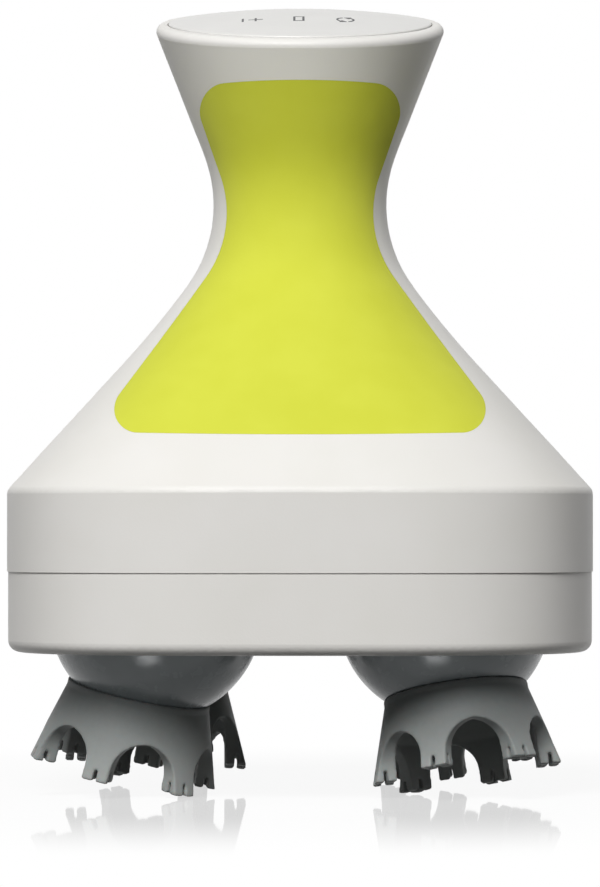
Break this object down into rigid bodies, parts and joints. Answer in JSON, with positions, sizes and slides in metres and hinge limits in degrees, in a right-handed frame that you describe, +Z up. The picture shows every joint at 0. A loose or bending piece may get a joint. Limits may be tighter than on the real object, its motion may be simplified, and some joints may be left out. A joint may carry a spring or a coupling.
{
  "type": "electric scalp massager",
  "caption": "Waisted hand-held scalp massager with slanted control plate, grip panels, squarish base and turning tilted silicone claws on ball hubs.",
  "frame": {"origin": "on the floor under the middle of the base, at the height of the lowest claw nubs", "axes": "+Z up, -Y towards the front, which the control plate slants to, +X to the right seen from the front"},
  "size_m": [0.104, 0.104, 0.1419],
  "materials": {
    "white_housing": "fine satin moulded ABS, off-white",
    "green_grip": "soft-touch yellow-green overlay",
    "control_face": "smooth satin off-white",
    "ball_grey": "polished dark grey",
    "claw_silicone": "matte mid grey silicone",
    "seal_rubber": "matte black",
    "gasket_silicone": "matte pale grey silicone",
    "inner_plastic": "plain moulded",
    "gear_plastic": "natural acetal",
    "steel": "turned or drawn steel",
    "zinc_screw": "zinc plated",
    "bronze": "sintered bronze",
    "nickel": "nickel strip",
    "board_green": "solder resist",
    "component_black": "moulded epoxy",
    "key_silicone": "translucent silicone",
    "light_lens": "clear epoxy",
    "cell_wrap": "shrink sleeve",
    "wire_red": "PVC insulation"
  },
  "bodies": {
    "housing": {"battery_cell": "cell_wrap", "battery_cradle": "inner_plastic", "battery_leads": "wire_red", "battery_light": "light_lens", "battery_tabs": "nickel", "bearing_plate": "inner_plastic", "board_components": "component_black", "board_screws": "zinc_screw", "charge_leads": "wire_red", "charge_socket": "nickel", "chassis_screws": "zinc_screw", "circuit_board": "board_green", "control_frame": "inner_plastic", "frame_screws": "zinc_screw", "front_grip_panel": "green_grip", "housing_gasket": "gasket_silicone", "housing_screws": "zinc_screw", "idler_pin": "steel", "key_mat": "key_silicone", "lower_housing": "white_housing", "motor": "steel", "motor_end_cap": "component_black", "motor_leads": "wire_red", "motor_plate": "inner_plastic", "motor_screws": "zinc_screw", "plate_pillars": "steel", "plate_screws": "zinc_screw", "rear_grip_panel": "green_grip", "rocker_pins": "steel", "shaft_seals": "seal_rubber", "spindle_bushes": "bronze", "sun_axle": "steel", "tact_switches": "component_black", "upper_housing": "white_housing"},
    "head_fl": {"output_gear_fl": "gear_plastic", "spindle_fl": "steel", "ball_hub_fl": "ball_grey", "claw_fl": "claw_silicone", "claw_screw_fl": "zinc_screw"},
    "head_fr": {"output_gear_fr": "gear_plastic", "spindle_fr": "steel", "ball_hub_fr": "ball_grey", "claw_fr": "claw_silicone", "claw_screw_fr": "zinc_screw"},
    "head_rl": {"output_gear_rl": "gear_plastic", "spindle_rl": "steel", "ball_hub_rl": "ball_grey", "claw_rl": "claw_silicone", "claw_screw_rl": "zinc_screw"},
    "head_rr": {"output_gear_rr": "gear_plastic", "spindle_rr": "steel", "ball_hub_rr": "ball_grey", "claw_rr": "claw_silicone", "claw_screw_rr": "zinc_screw"},
    "sun": {"sun_gear": "gear_plastic"},
    "idler": {"idler_gear": "gear_plastic"},
    "rotor": {"motor_shaft": "steel", "motor_pinion": "bronze"},
    "control": {"control_plate": "control_face"},
    "plug": {"charge_plug": "seal_rubber"}
  },
  "joints": [
    {"name": "head_fl_spin", "type": "hinge", "parent": "housing", "child": "head_fl", "pos_m": [-0.02517, -0.02517, 0.03], "axis": [0, 0, 1], "continuous": true},
    {"name": "head_fr_spin", "type": "hinge", "parent": "housing", "child": "head_fr", "pos_m": [0.02517, -0.02517, 0.03], "axis": [0, 0, 1], "continuous": true},
    {"name": "head_rl_spin", "type": "hinge", "parent": "housing", "child": "head_rl", "pos_m": [-0.02517, 0.02517, 0.03], "axis": [0, 0, 1], "continuous": true},
    {"name": "head_rr_spin", "type": "hinge", "parent": "housing", "child": "head_rr", "pos_m": [0.02517, 0.02517, 0.03], "axis": [0, 0, 1], "continuous": true},
    {"name": "sun_spin", "type": "hinge", "parent": "housing", "child": "sun", "pos_m": [0, 0, 0.03], "axis": [0, 0, 1], "continuous": true},
    {"name": "idler_spin", "type": "hinge", "parent": "housing", "child": "idler", "pos_m": [0, 0.0175, 0.03], "axis": [0, 0, 1], "continuous": true},
    {"name": "rotor_spin", "type": "hinge", "parent": "housing", "child": "rotor", "pos_m": [0, 0, 0.03], "axis": [0, 0, 1], "continuous": true},
    {"name": "control_rock", "type": "hinge", "parent": "housing", "child": "control", "pos_m": [0, 0.00252, 0.13443], "axis": [0, 0.9823, 0.1874], "range_deg": [-1.2, 1.2], "stiffness_Nm_per_rad": 1.1},
    {"name": "plug_hinge", "type": "hinge", "parent": "housing", "child": "plug", "pos_m": [0, 0.0512, 0.0438], "axis": [-1, 0, 0], "range_deg": [0, 95]}
  ],
  "couplings": [
    {"joint": "head_fr_spin", "follows": "head_fl_spin", "ratio": 1},
    {"joint": "head_rl_spin", "follows": "head_fl_spin", "ratio": 1},
    {"joint": "head_rr_spin", "follows": "head_fl_spin", "ratio": 1},
    {"joint": "sun_spin", "follows": "head_fl_spin", "ratio": -0.7451},
    {"joint": "idler_spin", "follows": "head_fl_spin", "ratio": 2.9804},
    {"joint": "rotor_spin", "follows": "head_fl_spin", "ratio": -17.882}
  ]
}
